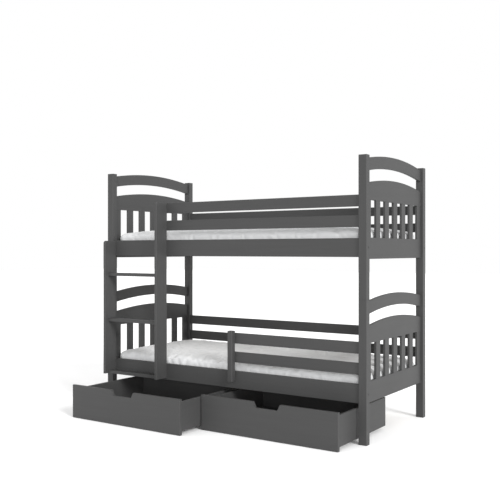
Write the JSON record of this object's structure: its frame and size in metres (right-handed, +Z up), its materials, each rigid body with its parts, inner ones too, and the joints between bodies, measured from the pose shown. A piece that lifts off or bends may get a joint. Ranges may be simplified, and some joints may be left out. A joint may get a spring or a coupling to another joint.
{
  "type": "bunk bed",
  "caption": "Bunk bed in graphite-painted wood: arched slatted ends, guard boards, side ladder, mattresses, and storage drawers on castors under it.",
  "frame": {"origin": "on the floor, under the middle of the whole object's bounding box with its drawers pulled out as at rest; the bed's own middle lies 201.9 mm behind it", "axes": "+X along the bed to the right as seen from the front, -Y to the front where the ladder and drawers are, +Z up"},
  "size_m": [1.98, 1.3008, 1.6424],
  "materials": {
    "graphite_paint": "satin graphite-grey paint over smooth sanded pine, faint grain",
    "drawer_board": "graphite-grey coated fibreboard",
    "bare_wood": "planed, uncoated pine and beech",
    "mattress_cover": "plain white woven cotton cover",
    "dark_steel": "blackened steel",
    "castor_plastic": "hard dark plastic"
  },
  "bodies": {
    "frame": {"post_front_left_lower": "graphite_paint", "post_front_right_lower": "graphite_paint", "post_back_left_lower": "graphite_paint", "post_back_right_lower": "graphite_paint", "post_front_left_upper": "graphite_paint", "post_front_right_upper": "graphite_paint", "post_back_left_upper": "graphite_paint", "post_back_right_upper": "graphite_paint", "side_rail_front_lower": "graphite_paint", "side_rail_back_lower": "graphite_paint", "side_rail_front_upper": "graphite_paint", "side_rail_back_upper": "graphite_paint", "end_rail_left_lower": "graphite_paint", "head_panel_left_lower": "graphite_paint", "arch_rail_left_lower": "graphite_paint", "end_rail_right_lower": "graphite_paint", "head_panel_right_lower": "graphite_paint", "arch_rail_right_lower": "graphite_paint", "end_rail_left_upper": "graphite_paint", "head_panel_left_upper": "graphite_paint", "arch_rail_left_upper": "graphite_paint", "end_rail_right_upper": "graphite_paint", "head_panel_right_upper": "graphite_paint", "arch_rail_right_upper": "graphite_paint", "end_slats_lower": "graphite_paint", "end_slats_upper": "graphite_paint", "guard_boards_front_lower": "graphite_paint", "guard_boards_back_lower": "graphite_paint", "guard_boards_front_upper": "graphite_paint", "guard_boards_back_upper": "graphite_paint", "guard_upright": "graphite_paint", "ladder_stile_left": "graphite_paint", "ladder_stile_right": "graphite_paint", "ladder_treads": "graphite_paint", "slat_ledgers": "graphite_paint", "bed_slats": "bare_wood", "mattress_lower": "mattress_cover", "mattress_upper": "mattress_cover", "dowels": "bare_wood", "rail_bolts": "dark_steel", "barrel_nuts": "dark_steel", "screws": "dark_steel"},
    "left_drawer": {"left_drawer_front": "graphite_paint", "left_drawer_sides": "graphite_paint", "left_drawer_back": "graphite_paint", "left_drawer_bottom": "drawer_board", "left_drawer_castor_forks": "dark_steel"},
    "left_drawer_wheel_front_left": {"left_drawer_wheel_front_left": "castor_plastic"},
    "left_drawer_wheel_front_right": {"left_drawer_wheel_front_right": "castor_plastic"},
    "left_drawer_wheel_back_left": {"left_drawer_wheel_back_left": "castor_plastic"},
    "left_drawer_wheel_back_right": {"left_drawer_wheel_back_right": "castor_plastic"},
    "right_drawer": {"right_drawer_front": "graphite_paint", "right_drawer_sides": "graphite_paint", "right_drawer_back": "graphite_paint", "right_drawer_bottom": "drawer_board", "right_drawer_castor_forks": "dark_steel"},
    "right_drawer_wheel_front_left": {"right_drawer_wheel_front_left": "castor_plastic"},
    "right_drawer_wheel_front_right": {"right_drawer_wheel_front_right": "castor_plastic"},
    "right_drawer_wheel_back_left": {"right_drawer_wheel_back_left": "castor_plastic"},
    "right_drawer_wheel_back_right": {"right_drawer_wheel_back_right": "castor_plastic"}
  },
  "joints": [
    {"name": "left_drawer_slide", "type": "slide", "parent": "frame", "child": "left_drawer", "axis": [0, -1, 0], "range_m": [-0.4148, 0.1352]},
    {"name": "left_drawer_wheel_front_left_spin", "type": "hinge", "parent": "left_drawer", "child": "left_drawer_wheel_front_left", "pos_m": [-0.774, -0.5724, 0.015], "axis": [1, 0, 0], "continuous": true},
    {"name": "left_drawer_wheel_front_right_spin", "type": "hinge", "parent": "left_drawer", "child": "left_drawer_wheel_front_right", "pos_m": [-0.091, -0.5724, 0.015], "axis": [1, 0, 0], "continuous": true},
    {"name": "left_drawer_wheel_back_left_spin", "type": "hinge", "parent": "left_drawer", "child": "left_drawer_wheel_back_left", "pos_m": [-0.774, -0.0884, 0.015], "axis": [1, 0, 0], "continuous": true},
    {"name": "left_drawer_wheel_back_right_spin", "type": "hinge", "parent": "left_drawer", "child": "left_drawer_wheel_back_right", "pos_m": [-0.091, -0.0884, 0.015], "axis": [1, 0, 0], "continuous": true},
    {"name": "right_drawer_slide", "type": "slide", "parent": "frame", "child": "right_drawer", "axis": [0, -1, 0], "range_m": [-0.2217, 0.3283]},
    {"name": "right_drawer_wheel_front_left_spin", "type": "hinge", "parent": "right_drawer", "child": "right_drawer_wheel_front_left", "pos_m": [0.118, -0.3793, 0.015], "axis": [1, 0, 0], "continuous": true},
    {"name": "right_drawer_wheel_front_right_spin", "type": "hinge", "parent": "right_drawer", "child": "right_drawer_wheel_front_right", "pos_m": [0.842, -0.3793, 0.015], "axis": [1, 0, 0], "continuous": true},
    {"name": "right_drawer_wheel_back_left_spin", "type": "hinge", "parent": "right_drawer", "child": "right_drawer_wheel_back_left", "pos_m": [0.118, 0.1047, 0.015], "axis": [1, 0, 0], "continuous": true},
    {"name": "right_drawer_wheel_back_right_spin", "type": "hinge", "parent": "right_drawer", "child": "right_drawer_wheel_back_right", "pos_m": [0.842, 0.1047, 0.015], "axis": [1, 0, 0], "continuous": true}
  ],
  "couplings": [
    {"joint": "left_drawer_wheel_front_left_spin", "follows": "left_drawer_slide", "rad_per_m": 66.667},
    {"joint": "left_drawer_wheel_front_right_spin", "follows": "left_drawer_slide", "rad_per_m": 66.667},
    {"joint": "left_drawer_wheel_back_left_spin", "follows": "left_drawer_slide", "rad_per_m": 66.667},
    {"joint": "left_drawer_wheel_back_right_spin", "follows": "left_drawer_slide", "rad_per_m": 66.667},
    {"joint": "right_drawer_wheel_front_left_spin", "follows": "right_drawer_slide", "rad_per_m": 66.667},
    {"joint": "right_drawer_wheel_front_right_spin", "follows": "right_drawer_slide", "rad_per_m": 66.667},
    {"joint": "right_drawer_wheel_back_left_spin", "follows": "right_drawer_slide", "rad_per_m": 66.667},
    {"joint": "right_drawer_wheel_back_right_spin", "follows": "right_drawer_slide", "rad_per_m": 66.667}
  ]
}
